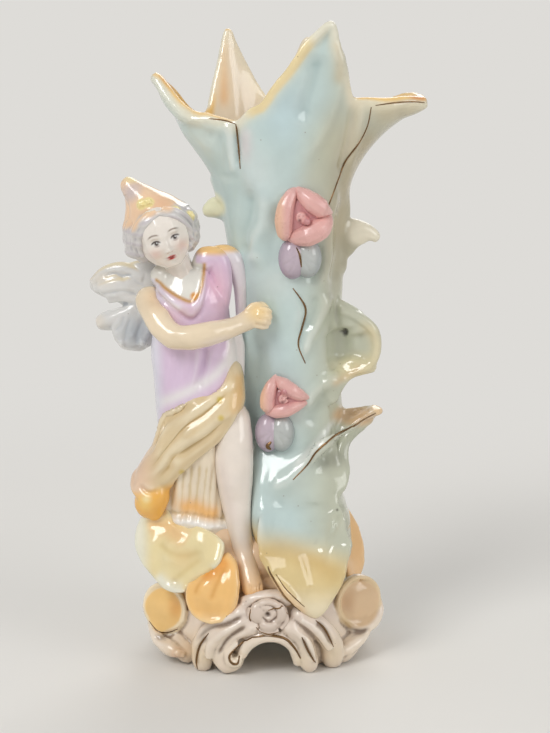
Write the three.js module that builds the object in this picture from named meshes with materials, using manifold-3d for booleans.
// Figural bud vase in glazed porcelain: a fluted tree-trunk vase with a five-lobed flaring mouth, a winged
// figure in a pointed cap holding the trunk, two applied flowers, and a hollow rococo scroll base.
// Millimetres, +Z up, +X to the right and -Y to the front. Each form that a potter casts or models by
// itself and then lutes on with slip is one solid, trimmed to the forms that carry it.
import * as THREE from "three";
import { mergeVertices } from "three/addons/utils/BufferGeometryUtils.js";
import Module from "manifold-3d";

const wasm = await Module();
wasm.setup();

// Driving dimensions: the trunk and its mouth
const SEAT_GAP = 0.4;
const SLIVER = 0.15;
const TRUNK_FOOT = 14;
const TRUNK_FOOT_RADIUS = 23;
const TRUNK_WAIST = 104;
const TRUNK_WAIST_RADIUS = 18.5;
const THROAT = 181;
const THROAT_RADIUS = 24.5;
const TRUNK_FLATNESS = 0.92;
const TRUNK_FOOT_X = 16;
const THROAT_X = 8.5;
const TRUNK_Y = 5;
const FLUTE_DEPTH = 1.5;
const TRUNK_WALL = 3.4;
const RIM_WALL = 2.4;
const WELL_FLOOR = 36;

// Driving dimensions: the base
const PLINTH_X = 1;
const PLINTH_HALF_WIDTH = 39;
const PLINTH_HALF_DEPTH = 33;
const PLINTH_TOP = 30;
const PLINTH_WALL = 6;
const HOLLOW_TOP = 17;
const ARCH_X = 3;
const ARCH_HALF_WIDTH = 10.5;
const ARCH_TOP = 14;
const SIDE_ARCH_HALF_WIDTH = 11;
const SIDE_ARCH_TOP = 8;
const ROUNDEL_RADIUS = 10;
const ROUNDEL_THICKNESS = 5;

// Driving dimensions: the figure
const HIP_X = -24;
const HIP_Y = -8;
const HIP_HEIGHT = 95;
const HIP_HALF_WIDTH = 16.5;
const HIP_HALF_DEPTH = 11;
const SHOULDER_HEIGHT = 149;
const SHOULDER_X = -28.5;
const SHOULDER_HALF_WIDTH = 14.5;
const SHOULDER_HALF_DEPTH = 9.5;
const SKIRT_HEM = 46;
const PLEATS = 9;
const PLEAT_DEPTH = 1.1;
const ARM_RADIUS = 4.8;
const FACE_HALF_WIDTH = 9.2;
const FACE_HALF_HEIGHT = 12;
const HEAD_TILT = 24;
const HAIR_HALF_WIDTH = 14.4;

// Driving dimensions: the applied flowers
const UPPER_FLOWER_HEIGHT = 175;
const LOWER_FLOWER_HEIGHT = 105;
const FLOWER_RADIUS = 11;
const PETAL_THICKNESS = 1.7;
const BUD_HALF_HEIGHT = 7.6;

const GLAZE = {
  aqua: 0xbfdad6,
  cream: 0xf0e6d2,
  ivory: 0xe9e2da,
  skin: 0xefe3da,
  blush: 0xf3d9b8,
  lilac: 0xd8bfd8,
  grey: 0xb9bac6,
  ochre: 0xe6cf9c,
  orange: 0xf5b055,
  yellow: 0xf0e0a8,
  peach: 0xe8c9a8,
  pink: 0xe9a9ae,
};
const GLAZE_ROUGHNESS = 0.15;

const FRONT = new THREE.Vector3(0, -1, 0);
const UP = new THREE.Vector3(0, 0, 1);
const point = (x, y, z) => new THREE.Vector3(x, y, z);
const mix = THREE.MathUtils.lerp;
const radians = THREE.MathUtils.degToRad;

// Signed volume of an indexed triangle skin, positive when the faces point out.
function signedVolume(points, faces) {
  let sum = 0;
  for (let i = 0; i < faces.length; i += 3) {
    const [a, b, c] = [points[faces[i]], points[faces[i + 1]], points[faces[i + 2]]];
    sum += a.dot(b.clone().cross(c));
  }
  return sum / 6;
}

// Closed skin over rings with the same number of points; each end closes on its ring's middle.
function skin(rings) {
  const count = rings[0].length;
  const points = rings.flat();
  const faces = [];
  for (let r = 0; r + 1 < rings.length; r++)
    for (let s = 0; s < count; s++) {
      const a = r * count + s;
      const b = r * count + ((s + 1) % count);
      faces.push(a, b, b + count, a, b + count, a + count);
    }
  const close = (first, reversed) => {
    const middle = point(0, 0, 0);
    for (let s = 0; s < count; s++) middle.add(points[first + s]);
    points.push(middle.divideScalar(count));
    for (let s = 0; s < count; s++) {
      const [a, b] = [first + s, first + ((s + 1) % count)];
      faces.push(...(reversed ? [b, a] : [a, b]), points.length - 1);
    }
  };
  close(0, true);
  close((rings.length - 1) * count, false);
  if (signedVolume(points, faces) < 0) faces.reverse();
  const geometry = new THREE.BufferGeometry().setFromPoints(points);
  geometry.setIndex(faces);
  return geometry;
}

// Smooth run through stations, each [x, y, z, half width, half depth], as centres, sizes and tangents.
function run(stations, steps) {
  const centres = new THREE.CatmullRomCurve3(stations.map(([x, y, z]) => point(x, y, z)));
  const sizes = new THREE.CatmullRomCurve3(stations.map(([, , , w, d = w]) => point(w, d, 0)));
  const count = (stations.length - 1) * steps;
  return Array.from({ length: count + 1 }, (_, i) => ({
    at: centres.getPoint(i / count),
    along: centres.getTangent(i / count).normalize(),
    wide: sizes.getPoint(i / count).x,
    deep: sizes.getPoint(i / count).y,
  }));
}

// The two directions across a run: `side` lies across the face, `out` points the way it faces.
function across(along, face) {
  const side = along.clone().cross(face).normalize();
  return { side, out: side.clone().cross(along).normalize().negate() };
}

// Round or oval limb along its stations, with domed ends.
function limb(stations, { face = FRONT, sides = 10, steps = 2, pleats = 0, pleatDepth = 0 } = {}) {
  const DOME = [radians(50)];
  const places = run(stations, steps);
  const first = places[0];
  const last = places[places.length - 1];
  const end = (place, turn, sign) => {
    const reach = sign * Math.min(place.wide, place.deep) * Math.sin(turn);
    return {
      ...place,
      at: place.at.clone().addScaledVector(place.along, reach),
      wide: place.wide * Math.cos(turn),
      deep: place.deep * Math.cos(turn),
    };
  };
  const all = [
    ...DOME.map((turn) => end(first, turn, -1)),
    ...places,
    ...DOME.toReversed().map((turn) => end(last, turn, 1)),
  ];
  return skin(
    all.map(({ at, along, wide, deep }) => {
      const { side, out } = across(along, face);
      return Array.from({ length: sides }, (_, s) => {
        const turn = (2 * Math.PI * s) / sides;
        const pleat = 1 + (pleatDepth / wide) * Math.cos(pleats * turn);
        return at
          .clone()
          .addScaledVector(side, wide * pleat * Math.cos(turn))
          .addScaledVector(out, deep * pleat * Math.sin(turn));
      });
    }),
  );
}

// Leaf or petal: a blade along its midrib stations, [x, y, z, half width, thickness]. A positive cup
// lifts the margins the way the blade faces, and `wave` ripples them.
function blade(stations, { face = FRONT, cup = 0, across: columns = 5, steps = 2, wave = 0 } = {}) {
  const MARGIN_SHARE = 0.45;
  const HALF_WAVES = 3;
  return skin(
    run(stations, steps).map(({ at, along, wide, deep }, i) => {
      const { side, out } = across(along, face);
      const row = (sign) =>
        Array.from({ length: columns }, (_, c) => {
          const share = (2 * c) / (columns - 1) - 1;
          const thin = 1 - (1 - MARGIN_SHARE) * share * share;
          const ripple = wave * share * Math.sin((HALF_WAVES * Math.PI * i) / steps);
          const lift = cup * wide * share * share + ripple + (sign * deep * thin) / 2;
          return at.clone().addScaledVector(side, wide * share).addScaledVector(out, lift);
        });
      return [...row(1), ...row(-1).reverse()];
    }),
  );
}

// Ellipsoid with three half sizes, tilted about the front-to-back axis.
function egg(at, halves, tilt = 0, columns = 14, rows = 8) {
  return new THREE.SphereGeometry(1, columns, rows)
    .rotateX(Math.PI / 2)
    .scale(...halves)
    .rotateY(radians(tilt))
    .translate(at.x, at.y, at.z);
}

// Solids for cutting and joining
function merged(geometry) {
  const bare = new THREE.BufferGeometry();
  bare.setAttribute("position", geometry.getAttribute("position").clone());
  bare.setIndex(geometry.getIndex());
  return mergeVertices(bare, 1e-3);
}

function solidOf(geometry) {
  const closed = merged(geometry);
  return new wasm.Manifold(
    new wasm.Mesh({
      numProp: 3,
      vertProperties: closed.getAttribute("position").array,
      triVerts: new Uint32Array(closed.getIndex().array),
    }),
  );
}

function geometryOf(solid) {
  const { numProp, vertProperties, triVerts } = solid.getMesh();
  const positions = new Float32Array((vertProperties.length / numProp) * 3);
  for (let i = 0; i < positions.length / 3; i++)
    for (let k = 0; k < 3; k++) positions[3 * i + k] = vertProperties[numProp * i + k];
  const geometry = new THREE.BufferGeometry();
  geometry.setAttribute("position", new THREE.BufferAttribute(positions, 3));
  geometry.setIndex(new THREE.BufferAttribute(new Uint32Array(triVerts), 1));
  return geometry;
}

// The same form swollen by the seat gap, which is what its neighbours are trimmed with.
function swollen(geometry) {
  const closed = merged(geometry);
  closed.computeVertexNormals();
  const [place, normal] = [closed.getAttribute("position"), closed.getAttribute("normal")];
  for (let i = 0; i < place.count; i++)
    place.setXYZ(
      i,
      place.getX(i) + normal.getX(i) * SEAT_GAP,
      place.getY(i) + normal.getY(i) * SEAT_GAP,
      place.getZ(i) + normal.getZ(i) * SEAT_GAP,
    );
  return closed;
}

const largest = (solid) => solid.decompose().sort((a, b) => b.volume() - a.volume())[0];
const touching = (a, b) => [0, 1, 2].every((k) => a.min[k] < b.max[k] && b.min[k] < a.max[k]);
const joined = (forms) => forms.map(solidOf).reduce((all, next) => all.add(next));

// Pieces in the order they are luted on: each is trimmed to the ones before it, and to the ground.
const pieces = [];
function add(name, glaze, form, envelope = form) {
  const list = Array.isArray(envelope) ? envelope : [envelope];
  const forms = Array.isArray(form) ? form : [form];
  pieces.push({ name, glaze, solid: joined(forms), envelope: joined(list.map(swollen)) });
}

// The trunk's middle and radius at a height, and a place on its skin at an angle from +X
const trunkShare = (z) => THREE.MathUtils.clamp((z - TRUNK_FOOT) / (THROAT - TRUNK_FOOT), 0, 1);
const trunkX = (z) => mix(TRUNK_FOOT_X, THROAT_X, trunkShare(z));
const TRUNK_SWELL = 1.4;
function trunkRadius(z) {
  const below = z < TRUNK_WAIST;
  const share = below
    ? (TRUNK_WAIST - z) / (TRUNK_WAIST - TRUNK_FOOT)
    : (z - TRUNK_WAIST) / (THROAT - TRUNK_WAIST);
  const end = below ? TRUNK_FOOT_RADIUS : THROAT_RADIUS;
  return mix(TRUNK_WAIST_RADIUS, end, share ** TRUNK_SWELL);
}
function onTrunk(z, degrees, out = 0) {
  const turn = radians(degrees);
  const radius = trunkRadius(z) + out;
  return point(trunkX(z) + radius * Math.cos(turn), TRUNK_Y + radius * TRUNK_FLATNESS * Math.sin(turn), z);
}

// The mouth: lobes and the dips between them, by angle from +X. reach is from the trunk's axis, top is
// above the throat, and rise and bend are the handles that shape the flare's curve between throat and rim.
// A lobe's round tip spreads TIP_SPREAD degrees to each side and drops by TIP_DROP there.
const RIM = [
  { lobe: true, angle: -4, reach: 57, top: 37, rise: 11, bend: [35, 27] },
  { lobe: false, angle: 30, reach: 30, top: 33, rise: 10, bend: [27, 21] },
  { lobe: true, angle: 70, reach: 28, top: 60, rise: 10, bend: [28, 41] },
  { lobe: false, angle: 104, reach: 27, top: 36, rise: 10, bend: [27, 24] },
  { lobe: true, angle: 133, reach: 34, top: 63, rise: 10, bend: [27, 41] },
  { lobe: false, angle: 157, reach: 34, top: 32, rise: 12, bend: [31, 23] },
  { lobe: true, angle: 189, reach: 47.5, top: 48.5, rise: 16, bend: [59, 38] },
  { lobe: false, angle: 229, reach: 28, top: 30, rise: 10, bend: [27, 19] },
  { lobe: true, angle: 306, reach: 31, top: 68, rise: 10, bend: [29, 45] },
  { lobe: false, angle: 327, reach: 32, top: 39, rise: 10, bend: [29, 25] },
];
const FLANK_STEPS = 4;
const FLANK_BEND = 1.35;
const TIP_SPREAD = 5;
const TIP_DROP = 2.4;
const NECK_FLARE = 1.5;

const rimPlace = ({ angle, reach, top, rise, bend }, dip) => ({
  angle: radians(angle),
  reach,
  top,
  rise,
  bend,
  flute: Math.sin((Math.PI / 2) * dip) ** 3,
});

// One flank between a lobe's tip and a dip, from `from` up to, but without, `to`
function flank(from, to) {
  const shift = (end) => (end.lobe ? TIP_SPREAD : 0);
  const start = from.angle + shift(from);
  const span = ((to.angle - from.angle + 360) % 360) - shift(from) - shift(to);
  const lower = (end) => end.top - (end.lobe ? TIP_DROP : 0);
  return Array.from({ length: FLANK_STEPS }, (_, s) => {
    const share = s / FLANK_STEPS;
    const weight = to.lobe ? share ** FLANK_BEND : 1 - (1 - share) ** FLANK_BEND;
    const between = {
      angle: start + span * share,
      reach: mix(from.reach, to.reach, weight),
      top: mix(lower(from), lower(to), weight),
      rise: mix(from.rise, to.rise, weight),
      bend: [mix(from.bend[0], to.bend[0], weight), mix(from.bend[1], to.bend[1], weight)],
    };
    return rimPlace(between, to.lobe ? 1 - share : share);
  });
}

const rimPlaces = () =>
  RIM.flatMap((row, i) => {
    const next = RIM[(i + 1) % RIM.length];
    return [...(row.lobe ? [rimPlace(row, 0)] : []), ...flank(row, next)];
  });

// Flare profile at one place of the rim: radius and height for a share of the way from throat to rim.
function flare(place, share, radius) {
  const curve = new THREE.CubicBezierCurve(
    new THREE.Vector2(radius, THROAT),
    new THREE.Vector2(radius + NECK_FLARE, THROAT + place.rise),
    new THREE.Vector2(place.bend[0], THROAT + place.bend[1]),
    new THREE.Vector2(place.reach, THROAT + place.top),
  );
  const at = curve.getPoint(share);
  const way = curve.getTangent(share);
  return { at, inward: new THREE.Vector2(-way.y, way.x) };
}

function vaseBody() {
  const TRUNK_RINGS = 5;
  const FLARE_RINGS = 6;
  const WELL_RINGS = 3;
  const places = rimPlaces();
  const ring = (radiusAt, heightAt) =>
    places.map((place) => {
      const [radius, z] = [radiusAt(place), heightAt(place)];
      const x = trunkX(z) + radius * Math.cos(place.angle);
      return point(x, TRUNK_Y + radius * TRUNK_FLATNESS * Math.sin(place.angle), z);
    });
  const fluted = (place, z) => trunkRadius(z) - FLUTE_DEPTH * place.flute * mix(0.5, 1, trunkShare(z));
  const outer = [];
  for (let r = 0; r < TRUNK_RINGS; r++) {
    const z = mix(TRUNK_FOOT, THROAT, r / TRUNK_RINGS);
    outer.push(ring((place) => fluted(place, z), () => z));
  }
  for (let r = 0; r <= FLARE_RINGS; r++) {
    const share = r / FLARE_RINGS;
    const at = (place) => flare(place, share, fluted(place, THROAT)).at;
    outer.push(ring((place) => at(place).x, (place) => at(place).y));
  }
  const inner = [];
  for (let r = FLARE_RINGS; r > 0; r--) {
    const share = r / FLARE_RINGS;
    const wall = mix(TRUNK_WALL, RIM_WALL, share);
    const at = (place) => {
      const { at: skinPoint, inward } = flare(place, share, fluted(place, THROAT));
      return skinPoint.clone().addScaledVector(inward, wall);
    };
    inner.push(ring((place) => at(place).x, (place) => at(place).y));
  }
  const wellRadius = (z) => trunkRadius(z) - FLUTE_DEPTH - TRUNK_WALL;
  for (let r = 0; r <= WELL_RINGS; r++) {
    const z = mix(THROAT, WELL_FLOOR, r / WELL_RINGS);
    inner.push(ring(() => wellRadius(z), () => z));
  }
  return { body: skin([...outer, ...inner]), envelope: skin(outer) };
}

// The base: a hollow oval plinth cut by arches into four feet
function oval(z, halfWidth, halfDepth, sides = 20) {
  return Array.from({ length: sides }, (_, s) => {
    const turn = (2 * Math.PI * s) / sides;
    return point(PLINTH_X + halfWidth * Math.cos(turn), halfDepth * Math.sin(turn), z);
  });
}

function archCutter(halfWidth, top, at, turn) {
  const LENGTH = 4 * PLINTH_HALF_WIDTH;
  const BELOW = 2;
  const rise = halfWidth * 0.8;
  const shape = new THREE.Shape();
  shape.moveTo(-halfWidth, -BELOW);
  shape.lineTo(halfWidth, -BELOW);
  shape.lineTo(halfWidth, top - rise);
  shape.absellipse(0, top - rise, halfWidth, rise, 0, Math.PI, false);
  shape.closePath();
  return new THREE.ExtrudeGeometry(shape, { depth: LENGTH, bevelEnabled: false, curveSegments: 6 })
    .translate(0, 0, -LENGTH / 2)
    .rotateX(Math.PI / 2)
    .rotateZ(turn)
    .translate(at, 0, 0);
}

function plinth() {
  const sizeAt = [
    [0, 0.9],
    [0.12, 0.97],
    [0.4, 1],
    [0.7, 0.96],
    [0.9, 0.86],
    [1, 0.7],
  ];
  const shell = skin(
    sizeAt.map(([share, size]) =>
      oval(share * PLINTH_TOP, PLINTH_HALF_WIDTH * size, PLINTH_HALF_DEPTH * size),
    ),
  );
  const BELOW = -2;
  const hollow = skin(
    [
      [BELOW, 0.92],
      [HOLLOW_TOP * 0.6, 0.95],
      [HOLLOW_TOP, 0.7],
    ].map(([z, size]) =>
      oval(z, (PLINTH_HALF_WIDTH - PLINTH_WALL) * size, (PLINTH_HALF_DEPTH - PLINTH_WALL) * size, 12),
    ),
  );
  const cut = solidOf(shell)
    .subtract(solidOf(hollow))
    .subtract(solidOf(archCutter(ARCH_HALF_WIDTH, ARCH_TOP, ARCH_X, 0)))
    .subtract(solidOf(archCutter(SIDE_ARCH_HALF_WIDTH, SIDE_ARCH_TOP, 0, Math.PI / 2)));
  return { body: geometryOf(cut), envelope: shell };
}

// A shallow dish on the plinth's shoulder, facing outwards and up
function roundel(at, facing) {
  const half = ROUNDEL_THICKNESS / 2;
  const profile = [
    [0, -half],
    [ROUNDEL_RADIUS * 0.8, -half],
    [ROUNDEL_RADIUS, -half * 0.2],
    [ROUNDEL_RADIUS * 0.96, half * 0.7],
    [ROUNDEL_RADIUS * 0.78, half],
    [ROUNDEL_RADIUS * 0.5, half * 0.35],
    [0, half * 0.1],
  ].map(([radius, height]) => new THREE.Vector2(radius, height));
  const turn = new THREE.Quaternion().setFromUnitVectors(point(0, 1, 0), facing.clone().normalize());
  return new THREE.LatheGeometry(profile, 16).applyQuaternion(turn).translate(at.x, at.y, at.z);
}

const trunk = vaseBody();
add("vase_body", GLAZE.aqua, trunk.body, trunk.envelope);
const base = plinth();
add("plinth", GLAZE.ivory, base.body, base.envelope);

// The plinth's front edge at a place across it
function frontOf(x) {
  const share = (x - PLINTH_X) / PLINTH_HALF_WIDTH;
  return -PLINTH_HALF_DEPTH * Math.sqrt(Math.max(0, 1 - share * share));
}

// The figure, from the hips up
const torsoHeight = SHOULDER_HEIGHT - HIP_HEIGHT;
function torso(share, wide = 1, deep = 1) {
  return [
    mix(HIP_X, SHOULDER_X, share),
    HIP_Y,
    HIP_HEIGHT + torsoHeight * share,
    mix(HIP_HALF_WIDTH, SHOULDER_HALF_WIDTH, share) * wide,
    mix(HIP_HALF_DEPTH, SHOULDER_HALF_DEPTH, share) * deep,
  ];
}
add(
  "bodice",
  GLAZE.lilac,
  limb(
    [
      torso(-0.05),
      torso(0.25, 1.02),
      torso(0.5, 1.06),
      torso(0.72, 0.98),
      torso(0.88, 1, 1.05),
      torso(1, 0.8, 0.75),
    ],
    { sides: 14, steps: 1 },
  ),
);

const FACE = point(SHOULDER_X - 9, HIP_Y - 5, SHOULDER_HEIGHT + 17);
function fromFace(right, back, above, ...sizes) {
  return [FACE.x + right, FACE.y + back, FACE.z + above, ...sizes];
}
add("head", GLAZE.skin, [
  egg(FACE, [FACE_HALF_WIDTH, FACE_HALF_WIDTH, FACE_HALF_HEIGHT], -HEAD_TILT),
  limb([
    [SHOULDER_X, HIP_Y, SHOULDER_HEIGHT - 1, 6.8, 5.6],
    fromFace(4.5, 3.5, -FACE_HALF_HEIGHT * 0.6, 5),
    fromFace(2, 3.5, 0, 5),
  ]),
]);
add("hair", GLAZE.grey, [
  egg(point(...fromFace(-1, 6.5, 2.5)), [HAIR_HALF_WIDTH, 11.5, 13], -HEAD_TILT, 12, 6),
  limb(
    [
      fromFace(-10.5, 2.5, 3, 4.4, 5.4),
      fromFace(-11, 2.5, -4, 4.6, 5.6),
      fromFace(-8.5, 3.5, -10.5, 3.6, 4.4),
    ],
    { sides: 8 },
  ),
  limb(
    [
      fromFace(8.5, 3.5, 8, 4, 5),
      fromFace(10.5, 3.5, 3, 3.4, 5),
      fromFace(10, 4.5, -2.5, 2.6, 4),
    ],
    { sides: 8 },
  ),
]);
add(
  "cap",
  GLAZE.orange,
  limb(
    [
      fromFace(-2, 6, 7, HAIR_HALF_WIDTH * 0.98, 11.8),
      fromFace(-5, 5.5, 12.5, 11.4, 10),
      fromFace(-9, 5, 16.8, 6.8, 6.4),
      fromFace(-12, 4.5, 19.6, 4.2, 4.2),
      fromFace(-13.6, 4.5, 21.4, 3.6),
    ],
    { sides: 12, steps: 1 },
  ),
);

// The arms: the front one crosses the body to the trunk, the rear one drops beside it against the trunk
const handPlace = onTrunk(SHOULDER_HEIGHT - 10.5, 242, ARM_RADIUS * 0.7);
const elbow = point(SHOULDER_X - 5, HIP_Y - 14.5, SHOULDER_HEIGHT - 18.5);
const reaching = (share, y, rise, radius) => [mix(elbow.x, handPlace.x, share), y, elbow.z + rise, radius];
add(
  "right_arm",
  GLAZE.blush,
  limb(
    [
      [SHOULDER_X - 14, HIP_Y - 1, SHOULDER_HEIGHT - 3.5, ARM_RADIUS * 1.06],
      [SHOULDER_X - 12.5, HIP_Y - 8, SHOULDER_HEIGHT - 10, ARM_RADIUS * 1.04],
      [elbow.x, elbow.y, elbow.z, ARM_RADIUS],
      reaching(0.42, elbow.y - 0.5, 1.5, ARM_RADIUS * 0.97),
      reaching(0.76, mix(elbow.y, handPlace.y, 0.55), 4, ARM_RADIUS * 0.72),
      [handPlace.x, handPlace.y, handPlace.z, ARM_RADIUS * 0.98],
    ],
    { face: UP, sides: 9 },
  ),
);
add(
  "left_arm",
  GLAZE.skin,
  limb(
    [
      [SHOULDER_X + 9.5, HIP_Y, SHOULDER_HEIGHT + 2.5, 5.8],
      [SHOULDER_X + 15.5, HIP_Y, SHOULDER_HEIGHT + 0.5, ARM_RADIUS],
      [SHOULDER_X + 18.5, HIP_Y + 0.5, SHOULDER_HEIGHT - 5, ARM_RADIUS * 0.75],
      [SHOULDER_X + 19.5, HIP_Y + 1, SHOULDER_HEIGHT - 12, ARM_RADIUS * 0.62],
      [SHOULDER_X + 20.5, HIP_Y + 0.5, SHOULDER_HEIGHT - 20, ARM_RADIUS * 0.72],
    ],
    { sides: 9, steps: 1 },
  ),
);

// The standing leg, from under the sash to the toes on the base
const legX = HIP_X + 13;
const toe = point(ARCH_X - 6, frontOf(ARCH_X - 6) + 1.5, PLINTH_TOP + 2);
add(
  "left_leg",
  GLAZE.skin,
  limb([
    [legX, HIP_Y - 4, HIP_HEIGHT + 2, 6.5],
    [legX, HIP_Y - 7, HIP_HEIGHT - 14, 7.6],
    [legX + 1, HIP_Y - 8.5, HIP_HEIGHT - 32, 5.6],
    [legX + 4, HIP_Y - 13, HIP_HEIGHT - 50, 3.7],
    [mix(legX + 4, toe.x, 0.5), mix(HIP_Y - 13, toe.y, 0.5), HIP_HEIGHT - 57, 4],
    [toe.x, toe.y, toe.z, 4.1, 2.9],
  ]),
);

// The ground that the figure and the trunk rise from
add(
  "mound",
  GLAZE.cream,
  skin(
    [
      [PLINTH_TOP - 8, 0.92, 0.9, 0],
      [PLINTH_TOP - 1, 0.86, 0.82, -1],
      [PLINTH_TOP + 7, 0.68, 0.66, -6],
      [SKIRT_HEM + 1, 0.5, 0.5, -12],
    ].map(([z, wide, deep, shift]) =>
      oval(z, PLINTH_HALF_WIDTH * wide, PLINTH_HALF_DEPTH * deep, 10).map((p) => p.add(point(shift, 0, 0))),
    ),
  ),
);
add(
  "underskirt",
  GLAZE.cream,
  limb(
    [
      [HIP_X + 0.5, HIP_Y, SKIRT_HEM + 6, HIP_HALF_WIDTH * 0.97, HIP_HALF_DEPTH * 1.2],
      [HIP_X + 0.5, HIP_Y, mix(SKIRT_HEM, HIP_HEIGHT, 0.45), HIP_HALF_WIDTH * 0.93, HIP_HALF_DEPTH * 1.1],
      [HIP_X, HIP_Y, HIP_HEIGHT - 4, HIP_HALF_WIDTH * 0.94, HIP_HALF_DEPTH],
    ],
    { sides: PLEATS * 3, pleats: PLEATS, pleatDepth: PLEAT_DEPTH, steps: 1 },
  ),
);

// The sash: a swathe from the near hip down to the far side, and its hanging end
add(
  "sash",
  GLAZE.ochre,
  limb(
    [
      [HIP_X + 14, HIP_Y - 2, HIP_HEIGHT + 16, 5.5, 5],
      [HIP_X + 9, HIP_Y - 5.5, HIP_HEIGHT + 8, 10, 8],
      [HIP_X - 2, HIP_Y - 6, HIP_HEIGHT - 2, 13.4, 9],
      [HIP_X - 12.5, HIP_Y - 5.5, HIP_HEIGHT - 13, 13, 9],
      [HIP_X - 18.5, HIP_Y - 6, HIP_HEIGHT - 22, 8.4, 7],
    ],
    { sides: 9 },
  ),
);
add(
  "sash_end",
  GLAZE.orange,
  limb(
    [
      [HIP_X - 18.5, HIP_Y - 7, HIP_HEIGHT - 22, 7.2, 6],
      [HIP_X - 18.5, HIP_Y - 8.5, HIP_HEIGHT - 30, 6.8, 6.2],
      [HIP_X - 18, HIP_Y - 9, HIP_HEIGHT - 36, 3.4, 3.4],
    ],
    { sides: 8 },
  ),
);

// The wings, behind the figure's right shoulder
const wingRoot = point(SHOULDER_X - 13, HIP_Y + 8, SHOULDER_HEIGHT);
function fromWing(out, back, down, ...sizes) {
  return [wingRoot.x - out, wingRoot.y + back, wingRoot.z - down, ...sizes];
}
add(
  "upper_wing",
  GLAZE.grey,
  blade(
    [
      fromWing(-1, 0, 2, 11, 7),
      fromWing(6, 1.5, 2.5, 10, 6.5),
      fromWing(14, 2.5, 2.5, 7.2, 5.5),
      fromWing(20.5, 3, 2.2, 4.8, 4.6),
      fromWing(25.5, 3, 1.6, 2.6, 3.6),
    ],
    { cup: -0.12, wave: 0.5 },
  ),
);
add(
  "lower_wing",
  GLAZE.grey,
  blade(
    [
      fromWing(3, 0, 12, 8.5, 7),
      fromWing(7, 1.5, 19, 8.6, 6),
      fromWing(9, 2, 25, 7, 5),
      fromWing(9.6, 2, 28.5, 4, 4),
    ],
    { cup: -0.12, wave: 0.5 },
  ),
);
add(
  "wing_lobe",
  GLAZE.ivory,
  blade([fromWing(10, 1.5, 15, 4.4, 5), fromWing(17, 2, 16.5, 4.4, 5), fromWing(23.5, 2, 17.6, 2.4, 3.4)], {
    cup: -0.12,
  }),
);

// Growths on the trunk: a knot, a thorn, the curled leaf and the cupped lower leaf
const station = (p, ...sizes) => [p.x, p.y, p.z, ...sizes];
add(
  "branch_knot",
  GLAZE.aqua,
  limb([
    station(onTrunk(THROAT - 6, 182, -3), 4.6),
    station(onTrunk(THROAT - 4.5, 182, 2.5), 4),
    station(onTrunk(THROAT - 5.5, 182, 5.5), 3),
  ]),
);
add(
  "branch_thorn",
  GLAZE.cream,
  limb([
    station(onTrunk(THROAT - 17, 0, -4), 9, 6),
    station(onTrunk(THROAT - 14.5, 0, 3), 5, 4),
    station(onTrunk(THROAT - 14.5, 0, 8), 2.8, 2.6),
    station(onTrunk(THROAT - 16, 0, 12), 1.3),
  ]),
);
add(
  "curled_leaf",
  GLAZE.cream,
  blade(
    [
      station(onTrunk(141, -22, -1), 2, 3),
      station(onTrunk(134, -20, 3.5), 6.5, 3),
      station(onTrunk(125, -17, 6), 9.6, 3),
      station(onTrunk(117, -18, 6), 9.8, 3),
      station(onTrunk(110, -28, 3), 7.5, 3),
      station(onTrunk(105, -48, 0), 5, 3),
      station(onTrunk(102.5, -66, -1.5), 3, 3),
    ],
    { face: point(-0.4, -0.9, 0.15), cup: 0.36, across: 7, steps: 1 },
  ),
);
add(
  "lower_leaf",
  GLAZE.aqua,
  blade(
    [
      [TRUNK_FOOT_X - 9, -12.5, 68, 3, 3],
      [TRUNK_FOOT_X + 2, -15, 69, 5.5, 3],
      [TRUNK_FOOT_X + 10.5, -10, 73, 8.2, 3],
      [TRUNK_FOOT_X + 16.5, -4, 80, 8.2, 3],
      [TRUNK_FOOT_X + 22, 0, 87.5, 6, 3],
      [TRUNK_FOOT_X + 27, 1.5, 94.5, 3.4, 3],
    ],
    { face: point(-0.35, -0.12, 0.93), cup: 1.15, across: 7, steps: 1 },
  ),
);

// Leaves on the ground, draped over the plinth
add(
  "left_ground_leaf",
  GLAZE.yellow,
  blade(
    [
      [HIP_X, frontOf(-29) + 2, SKIRT_HEM + 10, 15, 5],
      [HIP_X - 5, frontOf(-32) - 3, SKIRT_HEM + 2, 18.5, 5],
      [HIP_X - 7.5, frontOf(-33) - 7, SKIRT_HEM - 8, 14, 5],
      [HIP_X - 8, frontOf(-33) - 8.5, PLINTH_TOP + 0.5, 4, 3],
    ],
    { face: point(-0.4, -0.85, 0.35), cup: -0.22, wave: 0.6 },
  ),
);
add(
  "orange_leaf",
  GLAZE.orange,
  blade(
    [
      [HIP_X + 12, frontOf(-14) + 2, SKIRT_HEM, 2.5, 4],
      [HIP_X + 9, frontOf(-17) - 2, SKIRT_HEM - 8, 8, 5],
      [HIP_X + 6, frontOf(-20) - 4.5, SKIRT_HEM - 16, 10, 5.5],
      [HIP_X + 5, frontOf(-21) - 5.5, SKIRT_HEM - 24, 5, 3.5],
    ],
    { face: point(-0.25, -0.9, 0.3), cup: -0.2 },
  ),
);
add(
  "right_ground_leaf",
  GLAZE.yellow,
  blade(
    [
      [TRUNK_FOOT_X - 1, TRUNK_Y - 15.5, PLINTH_TOP + 34, 13, 4],
      [TRUNK_FOOT_X - 0.5, TRUNK_Y - 22, PLINTH_TOP + 26, 18, 4],
      [TRUNK_FOOT_X + 0.5, frontOf(16) + 1.5, PLINTH_TOP + 16, 18.5, 4],
      [TRUNK_FOOT_X + 3, frontOf(19) - 4, PLINTH_TOP + 4, 12, 4],
      [TRUNK_FOOT_X + 4.5, frontOf(21) - 6, PLINTH_TOP - 4, 5, 3.4],
      [TRUNK_FOOT_X + 5, frontOf(21) - 6.5, PLINTH_TOP - 7, 1.4, 3],
    ],
    { face: point(0.1, -0.93, 0.3), cup: -0.36, across: 7, steps: 1 },
  ),
);
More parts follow.
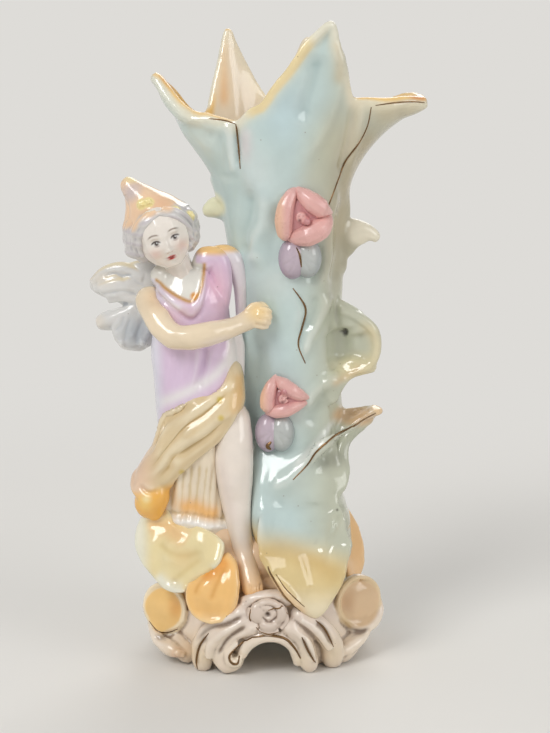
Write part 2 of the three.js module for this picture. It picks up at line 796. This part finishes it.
add(
  "back_ground_leaf",
  GLAZE.peach,
  blade(
    [
      station(onTrunk(PLINTH_TOP + 25, -4, 0), 5, 4),
      station(onTrunk(PLINTH_TOP + 14, -4, 3.5), 9, 4.5),
      station(onTrunk(PLINTH_TOP + 2, -8, 4), 8, 4),
      station(onTrunk(PLINTH_TOP - 6, -12, 1), 3, 3),
    ],
    { face: point(0.9, -0.42, 0.1), cup: -0.2, wave: 0.5 },
  ),
);

// The base's front: ribs that sweep over the arch and end in toes, the rim of the arch, and a cabochon
const TOE_LIFT = 3;
const foreRib = (name, places, radius) =>
  add(
    name,
    GLAZE.ivory,
    limb(
      places.map(([x, z, proud, size = 1]) => [x, frontOf(x) - proud, z, radius * size]),
      { sides: 8 },
    ),
  );
foreRib(
  "left_outer_rib",
  [
    [ARCH_X - 11, 25, 3],
    [ARCH_X - 20, 19, 4],
    [ARCH_X - 26, 11, 4.5],
    [ARCH_X - 26, TOE_LIFT, 3],
  ],
  4.2,
);
foreRib(
  "left_inner_rib",
  [
    [ARCH_X - 6.5, 20.5, 3.5],
    [ARCH_X - 15, 17, 4],
    [ARCH_X - 19.5, 9.5, 4],
    [ARCH_X - 16.5, TOE_LIFT, 2.5],
    [ARCH_X - 12.5, 5.5, 2.5, 0.8],
  ],
  3.6,
);
foreRib(
  "right_inner_rib",
  [
    [ARCH_X + 7.5, 20, 3.5],
    [ARCH_X + 13, 14, 3.5],
    [ARCH_X + 15.5, TOE_LIFT, 2],
  ],
  3.6,
);
foreRib(
  "right_outer_rib",
  [
    [ARCH_X + 12, 24, 3],
    [ARCH_X + 20, 17, 3.5],
    [ARCH_X + 24.5, 9.5, 3],
    [ARCH_X + 24.5, TOE_LIFT, 1],
  ],
  4.4,
);
foreRib(
  "arch_rim",
  [
    [ARCH_X - ARCH_HALF_WIDTH - 0.5, 7, 2.4, 0.9],
    [ARCH_X - ARCH_HALF_WIDTH * 0.84, ARCH_TOP - 2, 3.6],
    [ARCH_X - ARCH_HALF_WIDTH * 0.3, ARCH_TOP + 2, 4.2],
    [ARCH_X + ARCH_HALF_WIDTH * 0.3, ARCH_TOP + 2, 4.2],
    [ARCH_X + ARCH_HALF_WIDTH * 0.84, ARCH_TOP - 2, 3.6],
    [ARCH_X + ARCH_HALF_WIDTH + 0.5, TOE_LIFT + 1, 1.4, 0.9],
  ],
  2.2,
);
const cabochonPlace = point(ARCH_X - 0.5, frontOf(ARCH_X) - 3.5, 24.5);
add("cabochon", GLAZE.ivory, egg(cabochonPlace, [8.2, 4.6, 7.2], 0, 10, 6));
add(
  "toe_rest",
  GLAZE.ivory,
  limb(
    [
      [ARCH_X - 8.5, frontOf(ARCH_X) - 0.5, PLINTH_TOP - 1, 3.4],
      [ARCH_X - 1, frontOf(ARCH_X) - 1.5, PLINTH_TOP, 4.2],
      [ARCH_X + 7, frontOf(ARCH_X) - 0.5, PLINTH_TOP + 0.5, 3.2],
    ],
    { face: UP, sides: 8 },
  ),
);
const shoulderReach = PLINTH_HALF_WIDTH - 1.5;
const shoulder = (side) => point(PLINTH_X + side * shoulderReach, -PLINTH_HALF_DEPTH * 0.42, 19.5);
add("left_roundel", GLAZE.ochre, roundel(shoulder(-1), point(-0.25, -0.9, 0.35)));
add("right_roundel", GLAZE.peach, roundel(shoulder(1), point(0.25, -0.9, 0.35)));

// Side scrolls under the roundels, as the rear ones that carry the base's back corners
const SIDE_SCROLLS = [
  ["left_side_scroll", -1, -1],
  ["right_side_scroll", 1, -1],
  ["left_rear_scroll", -1, 1],
  ["right_rear_scroll", 1, 1],
];
for (const [name, side, depth] of SIDE_SCROLLS)
  add(
    name,
    GLAZE.ivory,
    limb(
      [
        [PLINTH_X + side * PLINTH_HALF_WIDTH * 0.99, depth * PLINTH_HALF_DEPTH * 0.1, 13, 4],
        [PLINTH_X + side * PLINTH_HALF_WIDTH * 0.93, depth * PLINTH_HALF_DEPTH * 0.42, 9, 4.4],
        [PLINTH_X + side * PLINTH_HALF_WIDTH * 0.78, depth * PLINTH_HALF_DEPTH * 0.66, TOE_LIFT + 1, 4.2],
      ],
      { face: UP, sides: 8 },
    ),
  );

// An applied flower: three thick petals, each a lip bowed round its own third of the flower, that meet in
// a three-cornered opening round a rolled centre, over a pair of round bud leaves. `lift` tips its face up.
const PETALS = [
  ["left", 176],
  ["upper", 54],
  ["lower", -64],
];
const PETAL_HALF_SPAN = 56;
const PETAL_REACH = 0.56;
const PETAL_STATIONS = [
  [-1, 0.16, 1],
  [-0.5, 0.38, 4],
  [0, 0.44, 5],
  [0.5, 0.38, 4],
  [1, 0.16, 1],
];
function flower(prefix, { height, degrees, size, lift, turn, drop }) {
  const root = onTrunk(height, degrees, 0);
  const level = point(root.x - trunkX(height), (root.y - TRUNK_Y) / TRUNK_FLATNESS ** 2, 0).normalize();
  const side = UP.clone().cross(level).normalize();
  const out = level.clone().applyAxisAngle(side, -radians(lift));
  const up = out.clone().cross(side);
  const radius = FLOWER_RADIUS * size;
  const at = (right, above, proud) =>
    root.clone().addScaledVector(side, right).addScaledVector(up, above).addScaledVector(out, proud);
  add(
    `${prefix}_flower_centre`,
    GLAZE.pink,
    limb([station(at(0, 0, -2), 2.2), station(at(0, 0, 3), 2), station(at(0.3, -0.4, 6), 1.7)], {
      face: UP,
      sides: 8,
      steps: 1,
    }),
  );
  for (const [name, middle] of PETALS) {
    const places = PETAL_STATIONS.map(([share, wide, proud]) => {
      const angle = radians(turn + middle + share * PETAL_HALF_SPAN);
      const reach = radius * PETAL_REACH;
      const place = at(reach * Math.cos(angle), reach * Math.sin(angle), proud);
      return station(place, radius * wide, PETAL_THICKNESS * 2);
    });
    add(
      `${prefix}_flower_${name}_petal`,
      GLAZE.pink,
      blade(places, { face: out, cup: -0.35, steps: 1 }),
    );
  }
  for (const [name, way, glaze] of [
    ["left", -1, GLAZE.lilac],
    ["right", 1, GLAZE.grey],
  ]) {
    const middle = onTrunk(height - drop, degrees - 3);
    const place = (right, above, proud) =>
      middle.clone().addScaledVector(side, right).addScaledVector(UP, above).addScaledVector(level, proud);
    add(
      `${prefix}_bud_${name}_leaf`,
      glaze,
      blade(
        [
          station(place(way * 1.2, BUD_HALF_HEIGHT, 0.3), 2, 2.5),
          station(place(way * 3.6, 0, 1.6), 4.2, 4),
          station(place(way * 1, -BUD_HALF_HEIGHT, 0.2), 1, 1.8),
        ],
        { face: level, cup: -0.3 },
      ),
    );
  }
}
flower("upper", { height: UPPER_FLOWER_HEIGHT, degrees: 286, size: 1.08, lift: 0, turn: 0, drop: 16.5 });
flower("lower", { height: LOWER_FLOWER_HEIGHT, degrees: 262, size: 1, lift: 36, turn: 12, drop: 14 });

// Trimming: a piece gives way to each earlier one's swollen form, and then to what is left of that piece
// itself, in case a fold of it stands outside its swollen form. Nothing reaches below the ground.
const ground = solidOf(new THREE.BoxGeometry(400, 400, 40).translate(0, 0, -20));
const vase = new THREE.Group();
const placed = [];
for (const { name, glaze, solid, envelope } of pieces) {
  const near = placed.filter((earlier) => touching(earlier.reach, solid.boundingBox()));
  let trimmed = solid.subtract(ground);
  for (const earlier of near) trimmed = trimmed.subtract(earlier.envelope);
  trimmed = largest(trimmed).simplify(SLIVER);
  for (const earlier of near) {
    const shared = trimmed.intersect(earlier.trimmed);
    if (shared.volume() > 0) trimmed = trimmed.subtract(earlier.trimmed);
  }
  trimmed = largest(trimmed);
  placed.push({ trimmed, envelope, reach: envelope.boundingBox() });
  const finish = { color: glaze, roughness: GLAZE_ROUGHNESS, metalness: 0 };
  const material = new THREE.MeshStandardMaterial(finish);
  const mesh = new THREE.Mesh(geometryOf(trimmed), material);
  mesh.name = name;
  vase.add(mesh);
}

// The origin is the middle of the vase's own box, on the ground
const box = new THREE.Box3().setFromObject(vase);
vase.position.set(-(box.min.x + box.max.x) / 2, -(box.min.y + box.max.y) / 2, 0);

export default vase;
